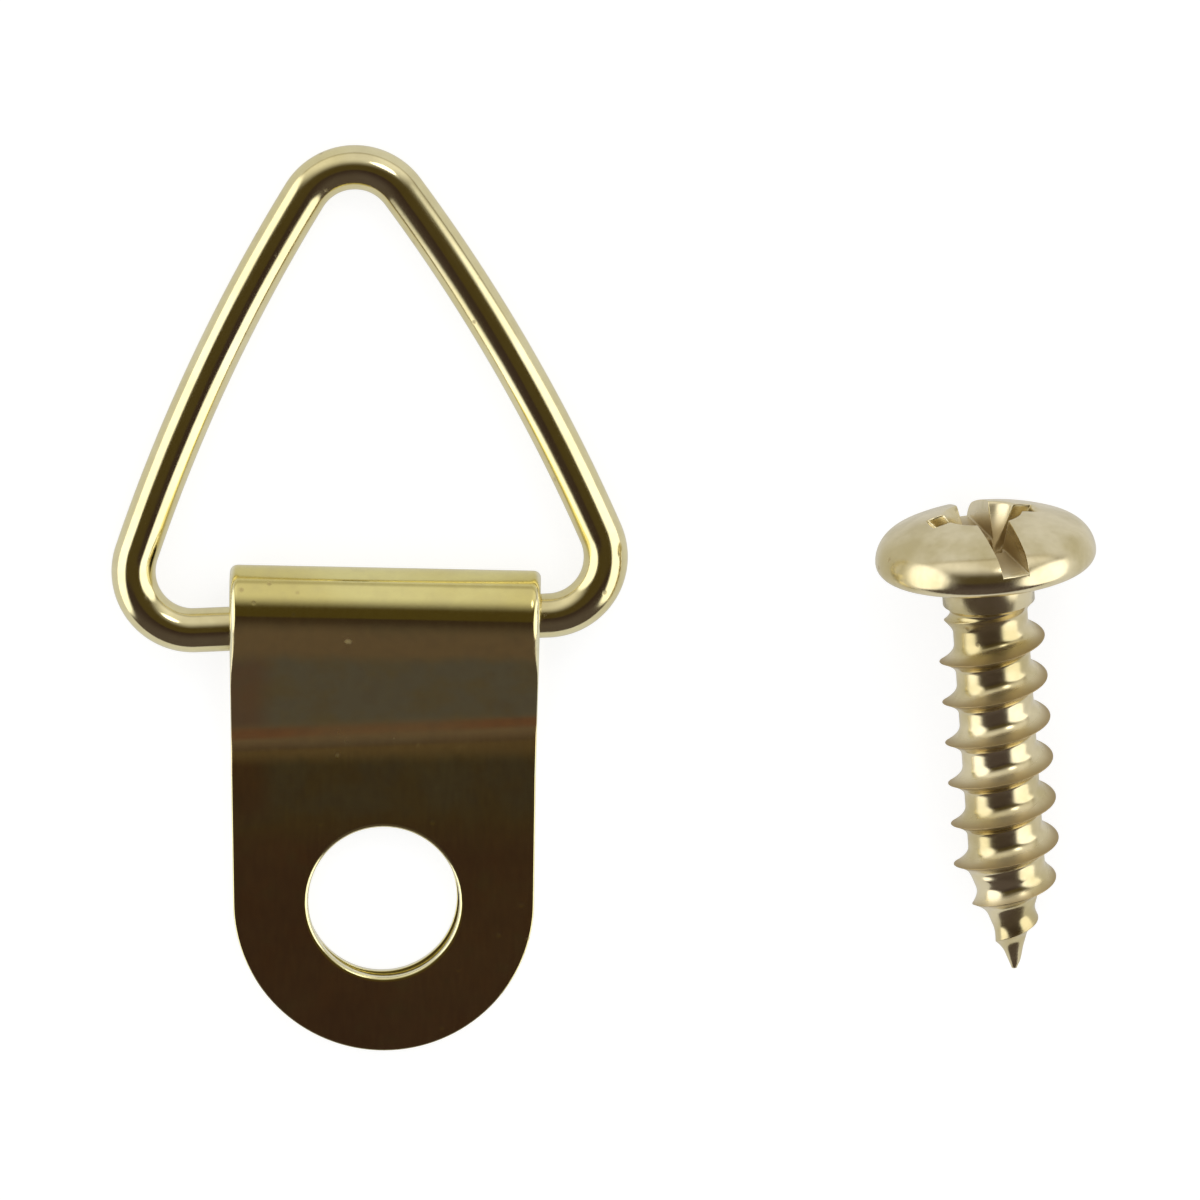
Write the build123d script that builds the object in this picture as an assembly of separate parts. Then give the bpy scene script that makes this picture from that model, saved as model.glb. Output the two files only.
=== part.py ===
from build123d import *
import math
import os

# D ring picture hanger lying on its back, with its screw lying beside it. Millimetres.
# The origin is the centre of the screw hole on the back face, which lies on Z = 0.
# +Y runs from the screw hole to the ring, +X is to the right and +Z faces the viewer.

# Screw: diameters of the thread's crest, the neck and the tip, then lengths along the axis from under
# the head
thread_diameter = 3.25
neck_diameter = 2.8
tip_diameter = 0.16
shank_length = 12.7
point_length = 3.16
neck_length = 0.9
runout_length = 0.5

# Screw head: a low pan head with a cross recess and a straight slot through its rim
head_overlap = 0.95
head_height = 2.0
rim_height_share = 0.27
shoulder_share = 0.65
slot_width = 1.0
wing_width = 0.85
slot_depth_share = 0.58
cross_span_share = 0.56
cross_depth_share = 0.76
cross_floor_share = 0.3
cross_core_share = 0.56
recess_turn = 14.0

# Strap: one strip of sheet folded double round the ring, both layers punched for the screw
sheet = 0.45
hole_play = 0.775
edge_margin = 2.2
side_flare = 0.15
leaf_gap = 0.06
seat_margin = 1.46
crease_radius = 1.2
slope_angle = 27.0
roll_play = 0.26

# Ring: one round wire bent to a triangle with bowed legs, its two ends meeting inside the roll
wire_diameter = 1.35
bend_radius = 1.8
leg_radius = 54.0
bar_overhang = 0.64
ring_height = 15.26
butt_gap = 0.1

# How the ring lies in the roll: lifted clear of the back layer, slid and skewed in its play
seat_play = 0.02
setback_share = 1.28
skew_share = 0.77
shift_share = 0.52

# How the screw lies beside the ring: room between them, place along Y and lean of its axis
screw_room = 7.42
screw_tip_y = -2.0
screw_lean = 4.5

# Every cutter runs past the faces it cuts by this much
overrun = 1.0

# Sizes that follow from the ones above
hole_diameter = thread_diameter + 2 * hole_play
head_diameter = hole_diameter + 2 * head_overlap
tongue_radius = hole_diameter / 2 + edge_margin
wire_radius = wire_diameter / 2
roll_inner = wire_radius + roll_play
roll_outer = roll_inner + sheet
front_face = 2 * sheet + leaf_gap
slope = math.radians(slope_angle)
crease_y = head_diameter / 2 + seat_margin
crease_z = front_face + crease_radius
roll_y = crease_y + (roll_outer + crease_radius - (crease_z - roll_outer) * math.cos(slope)) / math.sin(slope)
roll_end = roll_y + roll_outer
roll_half_width = tongue_radius + side_flare


def fold_line(depth):
    """Edges of the folded strip's profile at a depth under its outer face, from the back tongue end."""
    roll = CenterArc((roll_y, roll_outer), roll_outer - depth, -90, 180 + slope_angle)
    crease = CenterArc((crease_y, crease_z), crease_radius + depth, slope_angle - 90, -slope_angle)
    back_leaf = Line((-tongue_radius - overrun, depth), roll @ 0)
    ramp = Line(roll @ 1, crease @ 0)
    front_leaf = Line(crease @ 1, (-tongue_radius - overrun, front_face - depth))
    return [back_leaf, roll, ramp, crease, front_leaf]


def make_strap():
    """One sheet folded round the roll and creased flat on itself, cut to a tongue and punched."""
    outer = fold_line(0)
    inner = fold_line(sheet)
    ends = [Line(outer[0] @ 0, inner[0] @ 0), Line(outer[-1] @ 1, inner[-1] @ 1)]
    profile = Plane.YZ * make_face(outer + inner + ends)
    strip = extrude(profile, roll_half_width + overrun, both=True)

    sides = Polygon(
        (-tongue_radius, 0),
        (tongue_radius, 0),
        (roll_half_width, roll_end + overrun),
        (-roll_half_width, roll_end + overrun),
        align=None,
    )
    blank = Circle(tongue_radius) + sides - Circle(hole_diameter / 2)
    cutter = Pos(0, 0, -overrun) * extrude(blank, 2 * (roll_outer + overrun))
    return strip & cutter


def ring_path():
    """Centre line of the wire in its own plane, the bar along X through the origin, the peak at +Y."""
    half = roll_half_width + bar_overhang
    peak = ring_height - wire_diameter - bend_radius

    # Each leg bows outwards on an arc that touches the bend below it and the bend at the peak
    rise = peak - bend_radius
    facing = math.atan2(half, rise)
    reach = leg_radius - bend_radius
    spread = math.asin(math.hypot(half, rise) / 2 / reach)
    back = reach * math.cos(spread)
    leg_x = half / 2 - back * math.cos(facing)
    leg_y = (peak + bend_radius) / 2 - back * math.sin(facing)
    low = math.degrees(facing - spread)
    high = math.degrees(facing + spread)

    right_bend = CenterArc((half, bend_radius), bend_radius, -90, 90 + low)
    right_leg = CenterArc((leg_x, leg_y), leg_radius, low, high - low)
    peak_bend = CenterArc((0, peak), bend_radius, high, 180 - 2 * high)
    left_leg = CenterArc((-leg_x, leg_y), leg_radius, 180 - high, high - low)
    left_bend = CenterArc((-half, bend_radius), bend_radius, 180 - low, 90 + low)
    edges = [
        Line((butt_gap / 2, 0), right_bend @ 0),
        right_bend,
        right_leg,
        peak_bend,
        left_leg,
        left_bend,
        Line(left_bend @ 1, (-butt_gap / 2, 0)),
    ]
    return Wire(edges)


def ring_seat():
    """Where the ring's bar lies in the roll, with the peak of the ring on the ground."""
    bar_z = sheet + seat_play + wire_radius
    reach = ring_height - wire_diameter
    tilt = math.degrees(math.asin((bar_z - wire_radius) / reach))
    lean = math.degrees(math.atan(skew_share * roll_play / roll_half_width))
    bar_x = -shift_share * bar_overhang
    bar_y = roll_y - setback_share * roll_play
    return Pos(bar_x, bar_y, bar_z) * Rot(0, 0, lean) * Rot(-tilt, 0, 0)


def make_ring():
    """Round wire swept once round the triangle and laid in the roll."""
    path = ring_path()
    section = Plane(origin=path @ 0, z_dir=path % 0) * Circle(wire_radius)
    return ring_seat() * sweep(section, path=path)


def screw_blank():
    """Screw turned about Z with the underside of its head on Z = 0, the thread as its crest envelope."""
    crest = thread_diameter / 2
    neck = neck_diameter / 2
    head = head_diameter / 2
    rim = rim_height_share * head_height
    shoulder = shoulder_share * (head_height - rim)
    crown_rise = head_height - rim
    crown = ((head - shoulder) ** 2 + crown_rise**2 - shoulder**2) / (2 * (crown_rise - shoulder))
    meet = math.degrees(math.atan2(crown - crown_rise, head - shoulder))
    under_arc = CenterArc((head - rim, rim), rim, -90, 90)
    side_arc = CenterArc((head - shoulder, rim), shoulder, 0, meet)
    top_arc = CenterArc((0, head_height - crown), crown, meet, 90 - meet)
    shank = Polyline(
        (0, head_height),
        (0, -shank_length),
        (tip_diameter / 2, -shank_length),
        (crest, point_length - shank_length),
        (crest, -neck_length - runout_length),
        (neck, -neck_length),
        (neck, 0),
        under_arc @ 0,
    )
    return revolve(Plane.XZ * make_face([shank, under_arc, side_arc, top_arc]), Axis.Z)


def recess():
    """Cutter for the cross recess with tapering wing ends, and for the slot that runs out at the rim."""
    span = cross_span_share * head_diameter
    deep = cross_depth_share * head_height
    floor = cross_floor_share * span
    wing = Box(span, wing_width, deep) + Box(wing_width, span, deep)
    taper = Cone(floor / 2, span / 2, deep)
    core = Cone(cross_core_share * floor / 2, cross_core_share * span / 2, deep)
    cross = Pos(0, 0, head_height - deep / 2) * (wing & taper) + Pos(0, 0, head_height - deep / 2) * core
    slot_deep = slot_depth_share * head_height
    slot_box = Box(slot_width, head_diameter + overrun, slot_deep + overrun)
    slot = Pos(0, 0, head_height - slot_deep / 2 + overrun / 2) * slot_box
    return Rot(0, 0, recess_turn) * (cross + slot)


def screw_seat():
    """Pose of the screw lying on the edge of its head and on its last full thread crest."""
    rim = rim_height_share * head_height
    crest = thread_diameter / 2
    thread_end = shank_length - point_length
    run = thread_end + rim
    drop = head_diameter / 2 - rim - crest
    rise = math.atan2(drop, run) + math.asin(rim / math.hypot(run, drop))
    height = thread_end * math.sin(rise) + crest * math.cos(rise)
    heading = math.radians(screw_lean)
    ring_side = roll_half_width + (1 - shift_share) * bar_overhang + bend_radius + wire_radius
    place_x = ring_side + screw_room + head_diameter / 2
    place_y = screw_tip_y + shank_length * math.cos(rise) * math.cos(heading)
    across = (math.cos(heading), math.sin(heading), 0)
    along = (-math.sin(heading) * math.cos(rise), math.cos(heading) * math.cos(rise), math.sin(rise))
    return Plane(origin=(place_x, place_y, height), x_dir=across, z_dir=along).location


def make_screw():
    """Pan-head screw for wood, laid down beside the ring."""
    return screw_seat() * (screw_blank() - recess())


parts = {
    "folded_strap": make_strap(),
    "triangle_ring": make_ring(),
    "pan_head_screw": make_screw(),
}

os.makedirs("parts", exist_ok=True)
for name, shape in parts.items():
    export_step(shape, os.path.join("parts", name + ".step"))
    box = shape.bounding_box()
    print(name, "volume", round(shape.volume, 3), "low", box.min, "high", box.max)
print("roll centre", round(roll_y, 3), "crease", round(crease_y, 3), "tongue radius", round(tongue_radius, 3))
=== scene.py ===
import math

import bmesh
import bpy
import numpy as np
from mathutils import Matrix, Vector


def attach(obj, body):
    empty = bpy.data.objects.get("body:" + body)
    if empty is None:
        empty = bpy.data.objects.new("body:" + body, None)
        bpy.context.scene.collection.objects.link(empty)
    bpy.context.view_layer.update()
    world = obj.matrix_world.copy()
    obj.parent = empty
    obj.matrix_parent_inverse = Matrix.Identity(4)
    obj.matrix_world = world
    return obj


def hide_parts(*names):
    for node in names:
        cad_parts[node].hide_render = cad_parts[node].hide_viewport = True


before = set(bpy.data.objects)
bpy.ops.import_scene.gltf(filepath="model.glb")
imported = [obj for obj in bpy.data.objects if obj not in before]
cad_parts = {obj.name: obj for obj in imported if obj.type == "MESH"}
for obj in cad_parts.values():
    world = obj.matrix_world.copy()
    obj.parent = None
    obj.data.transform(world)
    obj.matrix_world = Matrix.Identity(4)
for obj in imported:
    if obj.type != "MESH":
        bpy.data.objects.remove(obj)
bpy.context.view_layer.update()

mm = 0.001  # every size below is in millimetres and is turned to metres when a mesh is made
mergeAt = 0.0006  # points of one mesh that are closer than this are one point
print("frame loaded", sorted(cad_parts))


# One patch of a surface: a grid of points in rows and columns, its UVs and one number per point
def patch(points, uv, mark):
    return dict(points=points, uv=uv, mark=mark)


# Quads of a grid: each joins a point to the next in its row and to the same two in the next row
def gridQuads(rows, columns):
    a = np.arange(rows - 1)[:, None] * columns + np.arange(columns - 1)[None, :]
    return np.stack([a, a + 1, a + columns + 1, a + columns], axis=-1).reshape(-1, 4)


# All patches become one mesh; points that meet are merged and the faces are turned outwards
def meshFromPatches(name, patches, markName):
    points, faces, uvs, marks, start = [], [], [], [], 0
    for p in patches:
        rows, columns = p["points"].shape[:2]
        points.append(p["points"].reshape(-1, 3))
        uvs.append(p["uv"].reshape(-1, 2))
        marks.append(np.broadcast_to(p["mark"], (rows, columns)).reshape(-1))
        faces.append(gridQuads(rows, columns) + start)
        start += rows * columns
    points, faces = np.concatenate(points) * mm, np.concatenate(faces)
    uvs, marks = np.concatenate(uvs), np.concatenate(marks)
    mesh = bpy.data.meshes.new(name)
    mesh.from_pydata(points, [], faces)
    layer = mesh.uv_layers.new(name="lay")
    layer.data.foreach_set("uv", uvs[faces.reshape(-1)].astype(np.float32).reshape(-1))
    attribute = mesh.attributes.new(markName, "FLOAT", "POINT")
    attribute.data.foreach_set("value", marks.astype(np.float32))
    work = bmesh.new()
    work.from_mesh(mesh)
    bmesh.ops.remove_doubles(work, verts=work.verts, dist=mergeAt * mm)
    bmesh.ops.recalc_face_normals(work, faces=work.faces)
    work.to_mesh(mesh)
    work.free()
    mesh.polygons.foreach_set("use_smooth", np.ones(len(mesh.polygons), bool))
    piece = bpy.data.objects.new(name, mesh)
    bpy.context.scene.collection.objects.link(piece)
    print(name, "points", len(mesh.vertices), "faces", len(mesh.polygons), "open edges", openEdges(mesh))
    return piece


# Edges that aren't shared by exactly two faces: none on a closed mesh
def openEdges(mesh):
    used = np.empty(len(mesh.loops), np.int32)
    mesh.loops.foreach_get("edge_index", used)
    return int(np.sum(np.bincount(used, minlength=len(mesh.edges)) != 2))


# The strap: one strip of sheet folded double round the ring
strap = dict(
    sheet=0.45, tongueRadius=4.6, holeRadius=2.31, flare=0.15, flareRun=11.368, leafGap=0.06,
    rollInner=0.935, rollY=8.983, rollSkew=-0.02, creaseY=4.81, creaseRadius=1.2, creaseSkew=0.04,
    drift=0.012,  # how far the roll stands to the right, per millimetre up from the tongue
    joinY=3.9,  # where the tongue's fan of lines ends and the folded strip begins
    cutEdge=0.05, rollEdge=0.27, burrEdge=0.03, holeEdge=0.13,  # radii of the rounded edges
    backHoleX=-0.07, backHoleY=0.1,  # the back leaf's hole, off the front one's
    edgeGrows=(1.1, 1.5), edgeShrinks=(2.0, 2.5),  # where along the strip its edges turn round, then sharp
    stripSteps=((6, 0.02), (52, 0.004), (8, 0.02), (16, 0.01), (4, 0.05)),  # for guardedSteps, part by part
    acrossSteps=(28, 0.006), fanSteps=(9, 0.02), sideSteps=8, endSteps=64, edgeSteps=5, holeSteps=8,
)


# Half width of the strap at a place along it: the tongue's radius, then flaring evenly to the roll
def halfWidth(y):
    return strap["tongueRadius"] + strap["flare"] * np.clip(y, 0, None) / strap["flareRun"]


# A point of the folded strip. Along is 0 to 5: back leaf, roll, ramp, crease and front leaf, one
# unit each. The middle line is straight or an arc in each, and the point is set off it, square to
# it, by half the sheet less its depth. The ramp's slope is that of the line which touches both the
# roll and the crease, so a skewed crease twists the ramp a little.
def foldedPoint(share, along, inset, depth):
    s = strap
    half = s["sheet"] / 2
    outer = s["rollInner"] + s["sheet"]
    middle = s["rollInner"] + half
    front = 2 * s["sheet"] + s["leafGap"]
    across = share * s["tongueRadius"]
    rollY = s["rollY"] + s["rollSkew"] * across
    creaseY = s["creaseY"] + s["creaseSkew"] * across
    creaseZ = front + s["creaseRadius"]
    reachY, reachZ = rollY - creaseY, creaseZ - outer
    slope = np.arcsin((outer + s["creaseRadius"]) / np.hypot(reachY, reachZ)) - np.arctan2(reachZ, reachY)
    part = np.clip(np.floor(along), 0, 4)
    local = along - part

    turn = -np.pi / 2 + local * (np.pi + slope)
    fold = slope - np.pi / 2 - local * slope
    rollEndY = rollY + middle * np.cos(np.pi / 2 + slope)
    rollEndZ = outer + middle * np.sin(np.pi / 2 + slope)
    foldRadius = s["creaseRadius"] + half
    foldStartY = creaseY + foldRadius * np.cos(slope - np.pi / 2)
    foldStartZ = creaseZ + foldRadius * np.sin(slope - np.pi / 2)
    flat = np.zeros_like(across + along)
    which = [part == 0, part == 1, part == 2, part == 3, part == 4]
    y = np.select(which, [
        s["joinY"] + local * (rollY - s["joinY"]) + flat,
        rollY + middle * np.cos(turn),
        rollEndY + local * (foldStartY - rollEndY),
        creaseY + foldRadius * np.cos(fold),
        creaseY + local * (s["joinY"] - creaseY),
    ])
    z = np.select(which, [
        half + flat,
        outer + middle * np.sin(turn),
        rollEndZ + local * (foldStartZ - rollEndZ),
        creaseZ + foldRadius * np.sin(fold),
        front - half + flat,
    ])
    heading = np.select(which, [
        flat,
        turn + np.pi / 2,
        np.pi + slope + flat,
        fold + 1.5 * np.pi,
        np.pi + flat,
    ])
    y = y + np.sin(heading) * (half - depth)
    z = z - np.cos(heading) * (half - depth)
    x = share * (halfWidth(y) - inset) + s["drift"] * np.clip(y - s["joinY"], 0, None)
    return np.stack(np.broadcast_arrays(x, y, z), axis=-1)


# Outline of a tongue, drawn in from its edge by inset: down the left side, round the end, up the right
def tongueOutline(inset):
    down = np.linspace(strap["joinY"], 0, strap["sideSteps"] + 1)[:-1]
    turn = np.linspace(np.pi, 2 * np.pi, strap["endSteps"] + 1)
    x = np.concatenate([inset - halfWidth(down), (strap["tongueRadius"] - inset) * np.cos(turn),
                        halfWidth(down[::-1]) - inset])
    y = np.concatenate([down, (strap["tongueRadius"] - inset) * np.sin(turn), down[::-1]])
    return x, y


# The same outline closed along the line where the tongue joins the folded strip
def tongueLoop(inset, shares):
    x, y = tongueOutline(inset)
    topX = shares[::-1][1:-1] * (halfWidth(strap["joinY"]) - inset)
    return np.concatenate([x, topX, x[:1]]), np.concatenate([y, np.full(len(topX), strap["joinY"]), y[:1]])


# Depth and inset of a cut edge: a quarter circle on the outer side, straight, a smaller one on the other.
# The outer circle's radius can differ along the edge, so rows are places along it and columns its steps.
# The mark is 1 on the cut itself and falls to 0 over the outer third of the big circle and the small one.
def edgeProfile(big, steps):
    a = np.linspace(0, np.pi / 2, steps + 1)
    small, sheet = strap["burrEdge"], strap["sheet"]
    big = np.atleast_1d(big)[:, None]
    flat = np.zeros_like(big)
    inset = np.concatenate([big * (1 - np.sin(a)), small * (1 - np.cos(a)) + flat], axis=1)
    depth = np.concatenate([big * (1 - np.cos(a)), sheet - small * (1 - np.sin(a)) + flat], axis=1)
    mark = np.clip(np.minimum(3 * depth / big, (sheet - depth) / small), 0, 1)
    return inset, depth, mark


# A smooth step from 0 at low to 1 at high
def ease(value, low, high):
    t = np.clip((value - low) / (high - low), 0, 1)
    return t * t * (3 - 2 * t)


# Even steps from 0 to 1 with one more step close to each end, which keeps the flat faces flat to the light
def guardedSteps(count, close):
    even = np.linspace(0, 1, count + 1)
    return np.concatenate([[0, close], even[1:-1], [1 - close, 1]])


# Both faces and both sides of the folded strip, and then the two tongues
def strapPatches():
    s = strap
    shares = 2 * guardedSteps(*s["acrossSteps"]) - 1
    parts = [k + guardedSteps(*steps)[:-1] for k, steps in enumerate(s["stripSteps"])]
    along = np.concatenate(parts + [[len(parts)]])
    middle = foldedPoint(np.zeros((1, 1)), along[:, None], 0, s["sheet"] / 2)[:, 0]
    length = np.concatenate([[0], np.cumsum(np.linalg.norm(np.diff(middle, axis=0), axis=1))])
    runs = s["joinY"] + length
    # bending draws the edges of the roll round, so their radius grows there and shrinks again on the ramp
    rolled = ease(along, *s["edgeGrows"]) * (1 - ease(along, *s["edgeShrinks"]))
    outerEdge = s["cutEdge"] + (s["rollEdge"] - s["cutEdge"]) * rolled
    insets, depths, marks = edgeProfile(outerEdge, s["edgeSteps"])
    patches = []

    for inset, depth in ((outerEdge[:, None], 0.0), (s["burrEdge"], s["sheet"])):
        points = foldedPoint(shares[None, :], along[:, None], inset, depth)
        uv = np.stack(np.broadcast_arrays(points[..., 0], runs[:, None]), axis=-1)
        patches.append(patch(points, uv, 0.0))

    for side in (-1, 1):
        points = foldedPoint(np.full((1, 1), side), along[:, None], insets, depths)
        uv = np.stack(np.broadcast_arrays(side * (s["tongueRadius"] + depths), runs[:, None]), axis=-1)
        patches.append(patch(points, uv, marks))

    front = 2 * s["sheet"] + s["leafGap"]
    end = runs[-1] + s["joinY"]
    patches += leafPatches(shares, (s["backHoleX"], s["backHoleY"]), lambda depth: depth, lambda y: y)
    patches += leafPatches(shares, (0.0, 0.0), lambda depth: front - depth, lambda y: end - y)
    return patches


# One tongue: straight lines fan from the hole's edge to the outline on both faces, the cut edge follows
# the outline, and the wall lines the hole. The punch drew the sheet down round the hole, so that edge is
# rounder than the outline's. leafZ gives the height at a depth in the sheet, and runOf the run at a y.
def leafPatches(shares, hole, leafZ, runOf):
    s = strap
    holeX, holeY = hole
    insets, depths, marks = (part[0] for part in edgeProfile(s["cutEdge"], s["edgeSteps"]))
    holeInsets, holeDepths, holeMarks = (part[0] for part in edgeProfile(s["holeEdge"], s["holeSteps"]))
    fan = guardedSteps(*s["fanSteps"])[:, None]
    loopX, loopY = tongueLoop(0.0, shares)
    angle = np.unwrap(np.arctan2(loopY, loopX))
    patches = []

    faces = ((s["cutEdge"], s["holeEdge"], 0.0), (s["burrEdge"], s["burrEdge"], s["sheet"]))
    for inset, holeInset, depth in faces:
        loopX, loopY = tongueLoop(inset, shares)
        radius = s["holeRadius"] + holeInset
        rimX, rimY = holeX + radius * np.cos(angle), holeY + radius * np.sin(angle)
        x, y = rimX + fan * (loopX - rimX), rimY + fan * (loopY - rimY)
        points = np.stack([x, y, np.full_like(x, leafZ(depth))], axis=-1)
        patches.append(patch(points, np.stack([x, runOf(y)], axis=-1), 0.0))

    rows = []
    for inset, depth in zip(insets, depths):
        x, y = tongueOutline(inset)
        rows.append(np.stack([x, y, np.full_like(x, leafZ(depth))], axis=-1))
    edge = np.stack(rows)
    walked = np.concatenate([[0], np.cumsum(np.linalg.norm(np.diff(edge[0], axis=0), axis=1))])
    uv = np.stack(np.broadcast_arrays(walked[None, :], depths[:, None]), axis=-1)
    patches.append(patch(edge, uv, marks[:, None]))

    radius = s["holeRadius"] + holeInsets[:, None]
    wall = np.stack(np.broadcast_arrays(holeX + radius * np.cos(angle), holeY + radius * np.sin(angle),
                                        leafZ(holeDepths)[:, None]), axis=-1)
    uv = np.stack(np.broadcast_arrays((angle * s["holeRadius"])[None, :], holeDepths[:, None]), axis=-1)
    patches.append(patch(wall, uv, holeMarks[:, None]))
    return patches


# The ring: round wire bent to a triangle, lying skewed in the roll
ring = dict(
    wireRadius=0.675, bendRadius=1.8, legRadius=54.0, halfBar=5.39, peak=12.11, buttGap=0.1,
    barX=-0.3328, barY=8.6501, barZ=1.145, lean=2.4134, tilt=1.9363,  # where its bar lies, and its angles
    barPoints=12, bendPoints=49, legPoints=41, roundPoints=57, endPoints=7,
)


# Middle line of the wire in its own plane: half the bar, a bend, a bowed leg, the peak, and the same
# back. Each bend or leg is an arc, given by its centre, radius and two angles; a leg's arc touches the
# bends at its ends from outside. Each point also has the direction square to the line, out of the ring.
def wireLine():
    half, peak, bend, wide = ring["halfBar"], ring["peak"], ring["bendRadius"], ring["legRadius"]
    facing = math.atan2(half, peak - bend)
    spread = math.asin(math.hypot(half, peak - bend) / 2 / (wide - bend))
    back = (wide - bend) * math.cos(spread)
    legX, legY = half / 2 - back * math.cos(facing), (peak + bend) / 2 - back * math.sin(facing)
    low, high = facing - spread, facing + spread
    arcs = [(half, bend, bend, -math.pi / 2, low, ring["bendPoints"]),
            (legX, legY, wide, low, high, ring["legPoints"]),
            (0, peak, bend, high, math.pi - high, ring["bendPoints"]),
            (-legX, legY, wide, math.pi - high, math.pi - low, ring["legPoints"]),
            (-half, bend, bend, math.pi - low, 1.5 * math.pi, ring["bendPoints"])]
    gap = ring["buttGap"] / 2
    share = np.linspace(0, 1, ring["barPoints"])
    flat = np.zeros(len(share) - 1)
    places = [np.stack([gap + (half - gap) * share[:-1], flat], axis=-1)]
    aways = [flat - math.pi / 2]
    for index, (x, y, radius, a, b, count) in enumerate(arcs):
        turn = np.linspace(a, b, count)[min(index, 1):]
        places.append(np.stack([x + radius * np.cos(turn), y + radius * np.sin(turn)], axis=-1))
        aways.append(turn)
    places.append(np.stack([-half + (half - gap) * share[1:], flat], axis=-1))
    aways.append(flat + 1.5 * math.pi)
    return np.concatenate(places), np.concatenate(aways)


# From the ring's own plane to where it lies: tilted to the ground, turned by its lean, set in the roll
def laidRing(points):
    tilt, lean = math.radians(-ring["tilt"]), math.radians(ring["lean"])
    x, y, z = points[..., 0], points[..., 1], points[..., 2]
    y, z = y * math.cos(tilt) - z * math.sin(tilt), y * math.sin(tilt) + z * math.cos(tilt)
    x, y = x * math.cos(lean) - y * math.sin(lean), x * math.sin(lean) + y * math.cos(lean)
    return np.stack([x + ring["barX"], y + ring["barY"], z + ring["barZ"]], axis=-1)


# The wire's round skin, then its two cut ends: flat discs that face each other across the butt gap
def ringPatches():
    line, away = wireLine()
    length = np.concatenate([[0], np.cumsum(np.linalg.norm(np.diff(line, axis=0), axis=1))])
    around = np.linspace(0, 2 * np.pi, ring["roundPoints"])
    r = ring["wireRadius"]
    out = np.stack([np.cos(away), np.sin(away), np.zeros_like(away)], axis=-1)
    up = np.array([0, 0, 1.0])
    place = np.concatenate([line, np.zeros((len(line), 1))], axis=1)
    skin = (place[:, None, :] + r * np.cos(around)[None, :, None] * out[:, None, :]
            + r * np.sin(around)[None, :, None] * up)
    uv = np.stack(np.broadcast_arrays(length[:, None], (around * r)[None, :]), axis=-1)
    patches = [patch(laidRing(skin), uv, 0.0)]
    radii = np.linspace(r, 0, ring["endPoints"])
    for end in (0, -1):
        disc = (place[end] + radii[:, None, None] * (np.cos(around)[None, :, None] * out[end]
                + np.sin(around)[None, :, None] * up))
        patches.append(patch(laidRing(disc), disc[..., 1:], 1.0))
    return patches


# The screw: pan head with a cross recess and slot, sharp coarse thread, gimlet point
screw = dict(
    crest=1.625, root=1.15, neck=1.4, tip=0.08, pitch=1.3, length=12.7, point=3.16, neckLength=0.9,
    flankAbove=0.4, flankBelow=0.3, hollow=1.9, threadFade=1.17, fadePower=0.8, neckBlend=0.35,
    flankSteps=11, flankCrowd=1.4, rootSteps=7, groundTurn=0.25,
    headRadius=3.35, headHeight=2.0, rimShare=0.27, shoulderShare=0.65, underRound=0.36, seatFillet=0.18,
    slotWidth=1.0, slotDepthShare=0.58, wingWidth=0.85, crossSpanShare=0.56, crossDepthShare=0.76,
    crossFloorShare=0.3, crossCoreShare=0.66, coreDrop=0.12, recessTurn=14.0, slotDraft=0.8, wingDraft=0.76,
    recessRound=0.1, coneRound=0.1, slotRound=0.06, coreRound=0.08,  # sizes of the recess's round corners
    straightFrom=0.72, headColumns=(0, 18, 32, 64, 78, 96), crownRows=84, shoulderRows=25, underRows=11,
    seatRows=6, filletRows=7, roundPoints=97, tipRows=3,
    placeX=18.3022, placeY=10.4778, lean=4.5,
)


# Tooth of the thread over one pitch: 1 at the crest, falling to 0 over the hollow flanks above and below
def tooth(phase):
    far = (phase + 0.5) % 1.0 - 0.5
    far = np.where(far < 0, -far / screw["flankAbove"], far / screw["flankBelow"])
    return np.clip(1 - far, 0, 1) ** screw["hollow"]


# Thread and point: the radius at a place down the axis and round it is the root's there plus the
# tooth's height there. The thread is right-handed, and a crest faces the ground where the point
# begins. Rows follow the helix, so that every crest is one unbroken line of points, and the last column,
# one pitch off the first, closes on the next turn's rows.
def threadPatch(around):
    s = screw
    start, end = s["neckLength"], s["length"]
    above, below = s["flankAbove"], s["flankBelow"]
    crowd = np.linspace(0, 1, s["flankSteps"]) ** s["flankCrowd"]
    valley = np.linspace(below, 1 - above, s["rootSteps"])[1:-1]
    phases = np.concatenate([-above * crowd[::-1], below * crowd[1:], valley])
    turns = np.arange(-2, int(end / s["pitch"]) + 3)  # spare turns at both ends, squeezed flat by the clip
    phase = (turns[:, None] + phases[None, :]).reshape(-1)
    turn = ((end - s["point"]) / s["pitch"] + s["groundTurn"]) % 1
    down = (phase[:, None] - around[None, :] / (2 * np.pi) + turn) * s["pitch"]
    inside = np.clip(down, start, end)
    fadeIn = np.clip((inside - start) / s["threadFade"], 0, 1)
    toTip = np.clip((end - inside) / s["point"], 0, 1)
    root = s["tip"] + (s["root"] - s["tip"]) * toTip
    root = root + (s["neck"] - s["root"]) * (1 - np.clip((inside - start) / s["neckBlend"], 0, 1)) ** 2
    crest = s["tip"] + (s["crest"] - s["tip"]) * toTip
    height = np.clip(crest - root, 0, None) * fadeIn ** s["fadePower"]
    raised = tooth(phase)[:, None]
    radius = root + height * raised
    points = np.stack([radius * np.cos(around), radius * np.sin(around), -inside], axis=-1)
    uv = np.stack(np.broadcast_arrays((around * s["root"])[None, :], inside), axis=-1)
    # the mark, 1 on the crests, is where the material paints shade along them
    return patch(points, uv, raised * height / (s["crest"] - s["root"]))


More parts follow.
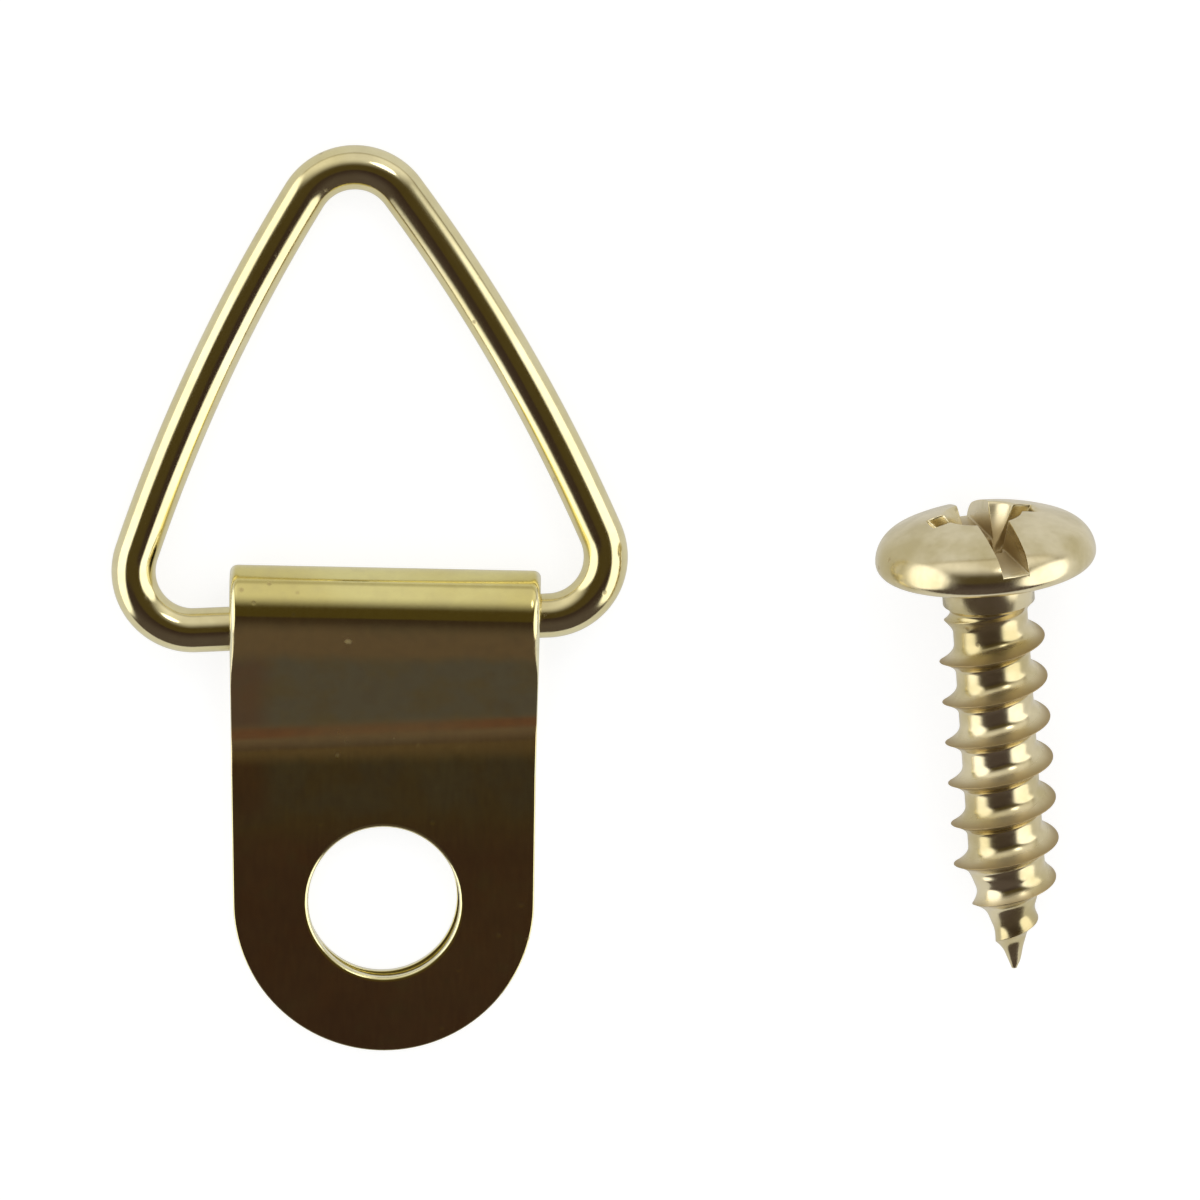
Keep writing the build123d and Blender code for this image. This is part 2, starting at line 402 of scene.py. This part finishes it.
# The lower of two heights, with a round corner of about the given size where they meet
def lower(a, b, size):
    t = np.clip(0.5 + (b - a) / (2 * size), 0, 1)
    return b + (a - b) * t - size * t * (1 - t)


# Height of a wall: flat at the floor up to one distance, then rising evenly to the head's top at another
def wallHeight(distance, floor, near, far):
    return floor + np.clip(distance - near, 0, None) * (screw["headHeight"] - floor) / (far - near)


# Height of the recess under a point of the crown: the lowest of a slot, two crossed wings whose ends
# lie on a cone, and a round core. Each is a floor whose walls rise with distance from its middle line.
def recessHeight(x, y):
    s = screw
    turn = math.radians(s["recessTurn"])
    u, v = x * math.cos(turn) + y * math.sin(turn), y * math.cos(turn) - x * math.sin(turn)
    out = np.hypot(u, v)
    reach = s["crossSpanShare"] * s["headRadius"]
    foot = s["crossFloorShare"] * reach
    floor = s["headHeight"] * (1 - s["crossDepthShare"])
    slotFloor = s["headHeight"] * (1 - s["slotDepthShare"])
    half, wing, core = s["slotWidth"] / 2, s["wingWidth"] / 2, s["crossCoreShare"]
    wingFoot = wing * s["wingDraft"]
    cross = np.minimum(wallHeight(np.abs(u), floor, wingFoot, wing),
                       wallHeight(np.abs(v), floor, wingFoot, wing))
    cone = wallHeight(out, floor, foot, reach)
    slot = wallHeight(np.abs(u), slotFloor, half * s["slotDraft"], half)
    middle = wallHeight(out, floor - s["coreDrop"], foot * core, reach * core)
    cross = -lower(-cross, -cone, s["coneRound"])
    return lower(lower(slot, cross, s["slotRound"]), middle, s["coreRound"])


# Angles of the head's columns in each row, counted from the slot's line. In every quarter, columns run
# along the foot and the top of the slot's wall and of the wing's wall, so those edges come out straight.
# The angle of such a line at a radius is the arc sine of its distance from the axis over the radius, and
# for the wing that is taken from a quarter turn.
def headAngles(radii):
    s = screw
    r = np.clip(radii, s["straightFrom"], None)
    half, wing = s["slotWidth"] / 2, s["wingWidth"] / 2
    flat = np.zeros_like(r)
    knots = np.concatenate([flat, np.arcsin(half * s["slotDraft"] / r), np.arcsin(half / r),
                            np.pi / 2 - np.arcsin(wing / r),
                            np.pi / 2 - np.arcsin(wing * s["wingDraft"] / r), flat + np.pi / 2], axis=1)
    counts = np.array(s["headColumns"])
    step = np.arange(counts[-1] + 1)
    part = np.clip(np.searchsorted(counts, step, side="right") - 1, 0, len(counts) - 2)
    share = (step - counts[part]) / (counts[part + 1] - counts[part])
    quarter = knots[:, part] * (1 - share) + knots[:, part + 1] * share
    back = np.pi - quarter[:, ::-1]
    lap = np.concatenate([quarter[:, :-1], back[:, :-1], np.pi + quarter[:, :-1], np.pi + back], axis=1)
    return lap + np.pi / 2 + math.radians(s["recessTurn"])


# Head and neck turned about the axis: crown arc, shoulder arc, underside arc, flat seat, neck with
# a fillet under the head. The crown's radius is the one that meets the shoulder without a corner, and
# the recess lowers the crown and shoulder wherever it lies under them. The last row has only as many
# points as the thread's rows, so that the two close on each other. The mark is the recess's depth, which
# the material turns into painted shade.
def headPatch(around):
    s = screw
    high, wide = s["headHeight"], s["headRadius"]
    rim = s["rimShare"] * high
    shoulder = s["shoulderShare"] * (high - rim)
    rise = high - rim
    crown = ((wide - shoulder) ** 2 + rise ** 2 - shoulder ** 2) / (2 * (rise - shoulder))
    meet = math.atan2(crown - rise, wide - shoulder)
    top = np.linspace(np.pi / 2, meet, s["crownRows"])
    side = np.linspace(meet, 0, s["shoulderRows"])[1:]
    under = np.linspace(0, -np.pi / 2, s["underRows"])[1:]
    bend = np.linspace(0, np.pi / 2, s["filletRows"])
    low, fillet = s["underRound"], s["seatFillet"]
    seat = np.linspace(wide - low, s["neck"] + fillet, s["seatRows"])[1:-1]
    radii = np.concatenate([crown * np.cos(top), wide - shoulder + shoulder * np.cos(side),
                            wide - low + low * np.cos(under), seat,
                            s["neck"] + fillet * (1 - np.sin(bend)), [s["neck"]]])
    height = np.concatenate([high - crown + crown * np.sin(top), rim + shoulder * np.sin(side),
                             rim + low * np.sin(under), np.full(len(seat), rim - low),
                             rim - low - fillet * (1 - np.cos(bend)), [-s["neckLength"]]])
    radii = np.clip(radii, 0, None)[:, None]
    angles = headAngles(radii)
    angles[-1] = around[np.round(angles[-1] / around[1]).astype(int) % (len(around) - 1)]
    x, y = radii * np.cos(angles), radii * np.sin(angles)
    z = np.broadcast_to(height[:, None], x.shape).copy()
    faced = len(top) + len(side) - 1
    z[:faced] = lower(z[:faced], recessHeight(x[:faced], y[:faced]), s["recessRound"])
    sunk = np.clip(height[:, None] - z, 0, 1)
    return patch(np.stack([x, y, z], axis=-1), np.stack([x, y], axis=-1), sunk)


# The tip's flat end: rings of points that shrink to its middle
def tipPatch(around):
    spread = np.linspace(screw["tip"], 0, screw["tipRows"])[:, None]
    points = np.stack([spread * np.cos(around), spread * np.sin(around),
                       np.full((len(spread), len(around)), -screw["length"])], axis=-1)
    return patch(points, points[..., :2].copy(), 0.0)


# The lying pose, in which the rim of the head and the last full crest both touch the ground: the three
# directions of the screw's own frame, and the place of its origin
def screwAxes():
    s = screw
    rim = s["rimShare"] * s["headHeight"]
    run = s["length"] - s["point"] + rim
    drop = s["headRadius"] - rim - s["crest"]
    rise = math.atan2(drop, run) + math.asin(rim / math.hypot(run, drop))
    lean = math.radians(s["lean"])
    high = (s["length"] - s["point"]) * math.sin(rise) + s["crest"] * math.cos(rise)
    across = np.array([math.cos(lean), math.sin(lean), 0.0])
    along = np.array([-math.sin(lean) * math.cos(rise), math.cos(lean) * math.cos(rise), math.sin(rise)])
    return np.stack([across, np.cross(along, across), along]), np.array([s["placeX"], s["placeY"], high])


# Head, thread and tip, laid down together
def screwPatches():
    around = np.linspace(0, 2 * np.pi, screw["roundPoints"])
    axes, place = screwAxes()
    patches = [headPatch(around), threadPatch(around), tipPatch(around)]
    for p in patches:
        p["points"] = p["points"] @ axes + place
    return patches


strapPiece = meshFromPatches("platedStrap", strapPatches(), "rim")
ringPiece = meshFromPatches("wireRing", ringPatches(), "cutEnd")
screwPiece = meshFromPatches("threadedScrew", screwPatches(), "crestAndRecessShade")
print("pieces made")


# Shader maths: a socket that adds a Math node for each operation written on it
class Value:
    def __init__(self, tree, socket):
        self.tree, self.socket = tree, socket

    # a Math node on this socket and the other sockets or numbers
    def math(self, operation, *others):
        node = self.tree.nodes.new("ShaderNodeMath")
        node.operation = operation
        for k, entry in enumerate((self, *others)):
            if isinstance(entry, Value):
                self.tree.links.new(entry.socket, node.inputs[k])
            else:
                node.inputs[k].default_value = entry
        return Value(self.tree, node.outputs[0])

    # a number as a socket
    def lift(self, number):
        node = self.tree.nodes.new("ShaderNodeValue")
        node.outputs[0].default_value = number
        return Value(self.tree, node.outputs[0])

    def __add__(self, other):
        return self.math("ADD", other)

    def __sub__(self, other):
        return self.math("SUBTRACT", other)

    def __rsub__(self, other):
        return self.lift(other).math("SUBTRACT", self)

    def __mul__(self, other):
        return self.math("MULTIPLY", other)

    __radd__, __rmul__ = __add__, __mul__


# A tree's nodes, made one call at a time
class Nodes:
    def __init__(self, tree):
        self.tree = tree
        tree.nodes.clear()

    # any node: its type, the settings that are set first, and the values or links of its sockets, which
    # are named, or numbered as i0, i1 where two share a name
    def add(self, kind, settings=None, out=0, **sockets):
        node = self.tree.nodes.new(kind)
        for key, value in (settings or {}).items():
            setattr(node, key, value)
        for key, value in sockets.items():
            name = key.replace("_", " ")
            matches = [i for i in node.inputs if i.name == name and i.enabled]
            socket = matches[0] if matches else node.inputs[int(key[1:])]
            if isinstance(value, Value):
                self.tree.links.new(value.socket, socket)
            else:
                socket.default_value = value
        return Value(self.tree, node.outputs[out]) if len(node.outputs) else None

    # cloudy noise at a place, about 0.5 on average
    def noise(self, vector, scale, detail, roughness):
        return self.add("ShaderNodeTexNoise", dict(noise_dimensions="3D"), Vector=vector, Scale=scale,
                        Detail=detail, Roughness=roughness)

    # 0 below low, 1 above high, and a smooth step between
    def smooth(self, value, low, high):
        return self.add("ShaderNodeMapRange", dict(interpolation_type="SMOOTHSTEP"),
                        Value=value, From_Min=low, From_Max=high, To_Min=0.0, To_Max=1.0)

    # 0 outside low and high, 1 between them, each side a smooth step twice as wide as soft
    def band(self, value, low, high, soft):
        above = self.smooth(value, low - soft, low + soft)
        return above * (1 - self.smooth(value, high - soft, high + soft))

    # 1 on a line at a place, fading to 0 between the two distances from it
    def line(self, value, place, near, far):
        return 1 - self.smooth((value - place).math("ABSOLUTE"), near, far)

    # colour a where the factor is 0, b where it is 1, and in step between
    def mixColour(self, factor, a, b):
        node = self.tree.nodes.new("ShaderNodeMix")
        node.data_type = "RGBA"
        for socket, value in ((node.inputs[0], factor), (node.inputs[6], a), (node.inputs[7], b)):
            if isinstance(value, Value):
                self.tree.links.new(value.socket, socket)
            elif socket.type == "RGBA":
                socket.default_value = (*value, 1.0)
            else:
                socket.default_value = value
        return Value(self.tree, node.outputs[2])


# Plated finish of each piece: two tones of the plating, the tone and dullness of its cut edge or cut end,
# or on the screw its painted shade deep in the recess and along the thread crests, and the mark from which
# they begin, the base roughness, the cloud's scale, and how strong the grain and the waves are
finishes = dict(
    strap=dict(pale=(0.85, 0.77, 0.34), deep=(0.78, 0.68, 0.27), edge=(0.93, 0.88, 0.62), edgeFrom=0.0,
               edgeRough=0.08, rough=0.12, cloud=260, grain=0.8, wave=0.5, grainScale=(9.0, 1.2, 1.0)),
    wire=dict(pale=(0.88, 0.80, 0.49), deep=(0.82, 0.73, 0.40), edge=(0.60, 0.54, 0.42), edgeFrom=0.0,
              edgeRough=0.2, rough=0.12, cloud=300, grain=0.7, wave=0.3, grainScale=(0.5, 12.0, 1.0)),
    # the screw's edge tone is painted shade: dark brown deep in the recess and along the thread crests
    screw=dict(pale=(0.87, 0.77, 0.51), deep=(0.64, 0.54, 0.28), edge=(0.48, 0.37, 0.19), edgeFrom=0.12,
               edgeRough=0.30, rough=0.21, cloud=420, grain=0.8, wave=0.5, grainScale=(2.2, 9.0, 1.0)),
)

# What all three pieces share: patterns, each noise by its scale, detail and roughness, and what wear
# does, which is shade where the mottle is far from its middle, and dark pits inside the cloud's patches
plating = dict(
    cloudDetail=(4.0, 0.55), mottle=(1100.0, 3.0, 0.6), fine=(9000.0, 3.0, 0.6), grain=(1.0, 4.0, 0.62),
    wave=(160.0, 1.0, 0.4), pit=1500.0, pitSize=(0.04, 0.16), pitPatch=(0.5, 0.66), cloudStep=(0.36, 0.66),
    shade=(0.55, 0.45, 0.25), shadeShare=0.9, pitTone=(0.42, 0.31, 0.14), pitShare=0.5,
    grainRough=0.14, cloudRough=0.10, pitRough=0.2, leastRough=0.04,
    grainHeight=0.4, fineHeight=0.25, pitHeight=1.2, bumpStrength=0.3, bumpDepth=0.00001, waveDepth=0.00005,
)

# Where the strap's lacquer has turned, by run along the strip, up the back leaf from the origin, over the
# roll and down to the front tongue, and by place across it, in millimetres: green smoke on the ramp, umber
# on the tongue, and warm and dull where the sheet is bent at the shoulder under the roll and at the crease.
# The warm tone and the red line in the bends are partly the stretched metal's own tint and partly painted
# reflection, and the glint in the crease is a painted highlight. A stretch has its start, its end and their
# softness, and a line its place and the ends of its fade.
turned = dict(
    smoke=(0.74, 0.75, 0.44), moss=(0.77, 0.71, 0.33), umber=(0.76, 0.56, 0.29), rust=(0.80, 0.56, 0.27),
    # painted light in the bends: warm and red partly tint and partly painted reflection, glint a painted
    # highlight
    bendTintAndReflection=(1.0, 0.77, 0.33), redTintAndReflection=(1.0, 0.55, 0.21), glint=(1.0, 0.84, 0.40),
    strayCloud=1.8, strayMottle=0.9, straySide=0.6, strayBend=0.3,  # how far the patterns shift a border
    smokeRun=(13.9, 19.4, 0.45), sideStep=(3.1, 4.0), umberStep=(19.3, 20.6), tones=(0.75, 5.0, 0.62),
    greyStep=(0.42, 0.66), brownStep=(0.46, 0.68), mossStep=(0.5, 0.72),
    shoulder=(12.9, 13.9, 0.3), crease=(16.3, 17.55, 0.3), redLine=(16.5, 0.05, 0.32), redSide=(1.2, 3.6),
    redMiddle=0.45, glintLine=(17.02, 0.02, 0.2), glintSide=(-0.8, 1.0, 3.6),
    scuff=(-1.05, 13.3), scuffSize=(0.05, 0.17), scuffStretch=1.3,
    smokeShare=0.95, sideShare=0.9, mossShare=0.45, shoulderShare=0.85, redShare=0.9, glintShare=0.6,
    creaseDull=0.12, shoulderDull=0.06, scuffDull=0.35,
)


# Metal. Colour: two plating tones mixed by a cloud, then on the strap the tones of its turned lacquer with
# painted reflection and a painted glint in its bends, then the cut edge's tone, or on the screw painted
# shade in the recess and on the crests, by the piece's mark, then dark in the pits. Roughness: the base
# plus fine grain drawn out along the sheet or wire, the cloud, the mark, the bends and the pits. Height:
# grain, fine noise and pits, with a second, broad and shallow wave over them.
def platedMaterial(name, finish, markName):
    material = bpy.data.materials.new(name)
    material.use_nodes = True
    n = Nodes(material.node_tree)
    f, p = finish, plating
    place = n.add("ShaderNodeTexCoord", out=3)
    lay = n.add("ShaderNodeUVMap", dict(uv_map="lay"))
    mark = n.add("ShaderNodeAttribute", dict(attribute_name=markName), out=2)
    cloud = n.noise(place, f["cloud"], *p["cloudDetail"])
    mottle = n.noise(place, *p["mottle"])
    fine = n.noise(place, *p["fine"])
    drawn = n.add("ShaderNodeMapping", dict(vector_type="POINT"), Vector=lay, Scale=f["grainScale"])
    grain = n.noise(drawn, *p["grain"])
    wave = n.noise(place, *p["wave"])
    pits = n.add("ShaderNodeTexVoronoi", dict(feature="F1"), Vector=place, Scale=p["pit"], Randomness=1.0)
    pitMask = (1 - n.smooth(pits, *p["pitSize"])) * n.smooth(cloud, *p["pitPatch"])
    colour = n.mixColour(n.smooth(cloud, *p["cloudStep"]), f["pale"], f["deep"])
    dull = 0.0
    if markName == "rim":
        colour, dull = turnedLacquer(n, colour, lay, cloud, mottle)
    # on the screw the mark paints shade: dark brown deep in the recess and along the thread crests
    mark = n.smooth(mark, f["edgeFrom"], 1.0)
    colour = n.mixColour(mark, colour, f["edge"])
    colour = n.mixColour((mottle - 0.5).math("ABSOLUTE") * p["shadeShare"], colour, p["shade"])
    colour = n.mixColour(pitMask * p["pitShare"], colour, p["pitTone"])
    rough = f["rough"] + (grain - 0.5) * p["grainRough"] + (cloud - 0.5) * p["cloudRough"]
    rough = rough + mark * f["edgeRough"] + pitMask * p["pitRough"] + dull
    height = grain * p["grainHeight"] + fine * p["fineHeight"] - pitMask * p["pitHeight"]
    strength = p["bumpStrength"] * f["grain"]
    bump = n.add("ShaderNodeBump", Strength=strength, Distance=p["bumpDepth"], Height=height)
    bend = n.add("ShaderNodeBump", Strength=f["wave"], Distance=p["waveDepth"], Height=wave, Normal=bump)
    shader = n.add("ShaderNodeBsdfPrincipled", Base_Color=colour, Metallic=1.0,
                   Roughness=rough.math("MAXIMUM", p["leastRough"]), Normal=bend)
    n.add("ShaderNodeOutputMaterial", Surface=shader)
    return material


# The strap's turned lacquer with painted light in its bends, laid on in order: smoke, umber, warm bends
# and a red line in the crease that are partly tint and partly painted reflection, a painted glint in the
# crease, and one small scuff beside the roll in the glint's pale tone. Also gives how much duller the bends
# and the scuff are.
def turnedLacquer(n, colour, lay, cloud, mottle):
    t = turned
    across = n.add("ShaderNodeSeparateXYZ", out=0, Vector=lay)
    run = n.add("ShaderNodeSeparateXYZ", out=1, Vector=lay)
    stray = (cloud - 0.5) * t["strayCloud"] + (mottle - 0.5) * t["strayMottle"]
    ragged = run + stray
    tones = n.noise(lay, *t["tones"])
    smoke = n.band(ragged, *t["smokeRun"])
    leftSide = n.smooth(stray * t["straySide"] - across, *t["sideStep"]) * smoke
    umber = n.smooth(ragged, *t["umberStep"])
    shoulder = n.band(run + stray * t["strayBend"], *t["shoulder"])
    crease = n.band(run + (mottle - 0.5) * t["strayBend"], *t["crease"])
    redEnds = n.smooth(across.math("ABSOLUTE"), *t["redSide"]) * (1 - t["redMiddle"])
    redLine = n.line(run, *t["redLine"]) * (t["redMiddle"] + redEnds)
    glint = n.line(run, *t["glintLine"]) * n.line(across, *t["glintSide"])
    scuffX, scuffRun = across - t["scuff"][0], (run - t["scuff"][1]) * t["scuffStretch"]
    scuff = 1 - n.smooth((scuffX * scuffX + scuffRun * scuffRun).math("SQRT"), *t["scuffSize"])
    grey = n.mixColour(n.smooth(tones, *t["greyStep"]), t["smoke"], t["moss"])
    brown = n.mixColour(n.smooth(tones, *t["brownStep"]), t["umber"], t["rust"])
    brown = n.mixColour(n.smooth(mottle, *t["mossStep"]) * t["mossShare"], brown, t["moss"])
    colour = n.mixColour(smoke * t["smokeShare"], colour, grey)
    colour = n.mixColour((leftSide * t["sideShare"]).math("MAXIMUM", umber), colour, brown)
    # painted reflection, partly the bent metal's tint: the bends turn warmer and brighter
    colour = n.mixColour(crease.math("MAXIMUM", shoulder * t["shoulderShare"]), colour, t["bendTintAndReflection"])
    # a painted red reflection line along the crease, partly the crease's own tint
    colour = n.mixColour(redLine * t["redShare"], colour, t["redTintAndReflection"])
    # a painted highlight along the crease, and the scuff in the same pale tone
    colour = n.mixColour((glint * t["glintShare"]).math("MAXIMUM", scuff), colour, t["glint"])
    return colour, crease * t["creaseDull"] + shoulder * t["shoulderDull"] + scuff * t["scuffDull"]


strapMetal = platedMaterial("brightPlatedSheet", finishes["strap"], "rim")
wireMetal = platedMaterial("brightPlatedWire", finishes["wire"], "cutEnd")
screwMetal = platedMaterial("warmPlatedScrew", finishes["screw"], "crestAndRecessShade")

for piece, material, body, node, slot in (
    (strapPiece, strapMetal, "strap", "folded_strap", "plated_strap"),
    (ringPiece, wireMetal, "ring", "triangle_ring", "plated_wire"),
    (screwPiece, screwMetal, "screw", "pan_head_screw", "plated_screw"),
):
    piece.data.materials.clear()
    piece.data.materials.append(material)
    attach(piece, body)
    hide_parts(node)
print("finishes set")


# Studio: a white floor, two softboxes left and right, a pale wall behind the ring, and the dark camera
# and near side over the hanger, all of which the metal mirrors
studio = dict(
    floorSize=3.0, floorAlbedo=0.38, floorGlow=0.78, mirroredGlow=0.42,
    lampPower=0.06, lampSize=0.10, lampPlace=(0.10, 0.22, 0.26), lampAim=(0.006, 0.009, 0.0),
)

# What the metal mirrors: colours by direction, where each fades to the next along an axis of the scene,
# and each softbox by its middle and the angles of its soft rim in degrees
surround = dict(
    overhead=(0.036, 0.0215, 0.0175), overRing=(0.068, 0.049, 0.013), nearSide=(0.086, 0.067, 0.063),
    wallMiddle=(0.76, 0.74, 0.70), wallSides=(0.92, 0.90, 0.86), skirting=(0.34, 0.31, 0.24),
    softbox=(1.6, 1.6, 1.6), below=(0.6, 0.6, 0.6), plain=(0.72, 0.72, 0.72), white=(1.0, 1.0, 1.0),
    wallStep=(0.26, 0.78), skirtingStep=(0.10, 0.22), nearStep=(-0.75, -0.15), ringStep=(-0.15, -0.11),
    sidesStep=(0.1, 0.5), belowStep=(-0.12, 0.0), skirtingShare=0.6,
    rightBox=((0.93, -0.10, 0.35), 39, 32), leftBox=((-0.97, 0.02, 0.16), 43, 34),
)


# The floor: matt, with a glow that the camera sees, straight or through a clear piece, and a weaker one
# that mirrors see
def makeFloor():
    half = studio["floorSize"] / 2
    corners = [(-half, -half, 0), (half, -half, 0), (half, half, 0), (-half, half, 0)]
    mesh = bpy.data.meshes.new("paleFloor")
    mesh.from_pydata(corners, [], [(0, 1, 2, 3)])
    floor = bpy.data.objects.new("paleFloor", mesh)
    bpy.context.scene.collection.objects.link(floor)
    material = bpy.data.materials.new("paleFloorPaint")
    material.use_nodes = True
    n = Nodes(material.node_tree)
    camera = n.add("ShaderNodeLightPath", out=0)
    mirrored = n.add("ShaderNodeLightPath", out=3)
    through = n.add("ShaderNodeLightPath", out=6)
    seen = camera.math("MAXIMUM", through) * studio["floorGlow"] + mirrored * studio["mirroredGlow"]
    paint = n.add("ShaderNodeBsdfDiffuse", Color=(studio["floorAlbedo"],) * 3 + (1.0,))
    glow = n.add("ShaderNodeEmission", Color=(1.0, 1.0, 1.0, 1.0), Strength=seen)
    both = n.add("ShaderNodeAddShader", i0=paint, i1=glow)
    n.add("ShaderNodeOutputMaterial", Surface=both)
    mesh.materials.append(material)


# The surround is seen only by mirrors: matt surfaces get one plain tone, and the camera sees white
def makeWorld():
    world = bpy.data.worlds.new("studioSurround")
    bpy.context.scene.world = world
    world.use_nodes = True
    n = Nodes(world.node_tree)
    w = surround
    direction = n.add("ShaderNodeTexCoord", out=0)
    toX = n.add("ShaderNodeSeparateXYZ", out=0, Vector=direction)
    toY = n.add("ShaderNodeSeparateXYZ", out=1, Vector=direction)
    toZ = n.add("ShaderNodeSeparateXYZ", out=2, Vector=direction)

    # 1 within a cap of directions about a middle, fading to 0 between the two angles in degrees
    def cap(middle, outer, inner):
        toward = Vector(middle).normalized()
        dot = n.add("ShaderNodeVectorMath", dict(operation="DOT_PRODUCT"), out=1, i0=direction, i1=toward)
        return n.smooth(dot, math.cos(math.radians(outer)), math.cos(math.radians(inner)))

    skirting = 1 - n.smooth(toZ, *w["skirtingStep"])
    dark = n.mixColour(n.smooth(toY, *w["ringStep"]), w["overhead"], w["overRing"])
    dark = n.mixColour(1 - n.smooth(toY, *w["nearStep"]), dark, w["nearSide"])
    back = n.mixColour(n.smooth(toX.math("ABSOLUTE"), *w["sidesStep"]), w["wallMiddle"], w["wallSides"])
    back = n.mixColour(skirting * w["skirtingShare"], back, w["skirting"])
    colour = n.mixColour(n.smooth(toY, *w["wallStep"]), dark, back)
    colour = n.mixColour(cap(*w["leftBox"]), colour, w["softbox"])
    colour = n.mixColour(cap(*w["rightBox"]), colour, w["softbox"])
    colour = n.mixColour(1 - n.smooth(toZ, *w["belowStep"]), colour, w["below"])
    camera = n.add("ShaderNodeLightPath", out=0)
    mirrored = n.add("ShaderNodeLightPath", out=3)
    seen = n.mixColour(mirrored, w["plain"], colour)
    seen = n.mixColour(camera, seen, w["white"])
    background = n.add("ShaderNodeBackground", Color=seen, Strength=1.0)
    n.add("ShaderNodeOutputWorld", Surface=background)


# A small round lamp, high to the right beyond the ring, draws the shadows
def makeLamp():
    light = bpy.data.lights.new("softLamp", "AREA")
    light.shape, light.size, light.energy = "DISK", studio["lampSize"], studio["lampPower"]
    lamp = bpy.data.objects.new("softLamp", light)
    bpy.context.scene.collection.objects.link(lamp)
    lamp.location = studio["lampPlace"]
    lamp.rotation_mode = "QUATERNION"
    lamp.rotation_quaternion = (Vector(studio["lampAim"]) - lamp.location).to_track_quat("-Z", "Y")


# Camera: above the middle of the photograph, aimed down at the hanger and its screw with a long lens
view = dict(
    place=(0.0040, 0.0637, 0.395), aim=(0.0066, 0.0094, 0.0015), frameWidth=0.0365, sensor=36.0,
    clip=(0.01, 20.0),
)


# The lens is as long as it takes for the frame's width to fill the sensor at the aim's distance
def makeCamera():
    data = bpy.data.cameras.new("photoCamera")
    camera = bpy.data.objects.new("photoCamera", data)
    bpy.context.scene.collection.objects.link(camera)
    place, aim = Vector(view["place"]), Vector(view["aim"])
    back = (place - aim).normalized()
    up = back.cross(Vector((1, 0, 0))).normalized()
    right = up.cross(back).normalized()
    camera.rotation_mode = "QUATERNION"
    camera.rotation_quaternion = Matrix((right, up, back)).transposed().to_quaternion()
    camera.location = place
    data.sensor_width = view["sensor"]
    data.lens = view["sensor"] * (place - aim).length / view["frameWidth"]
    data.clip_start, data.clip_end = view["clip"]
    bpy.context.scene.camera = camera


makeFloor()
makeWorld()
makeLamp()
makeCamera()
bpy.context.scene.view_settings.view_transform = "Standard"
print("studio set")
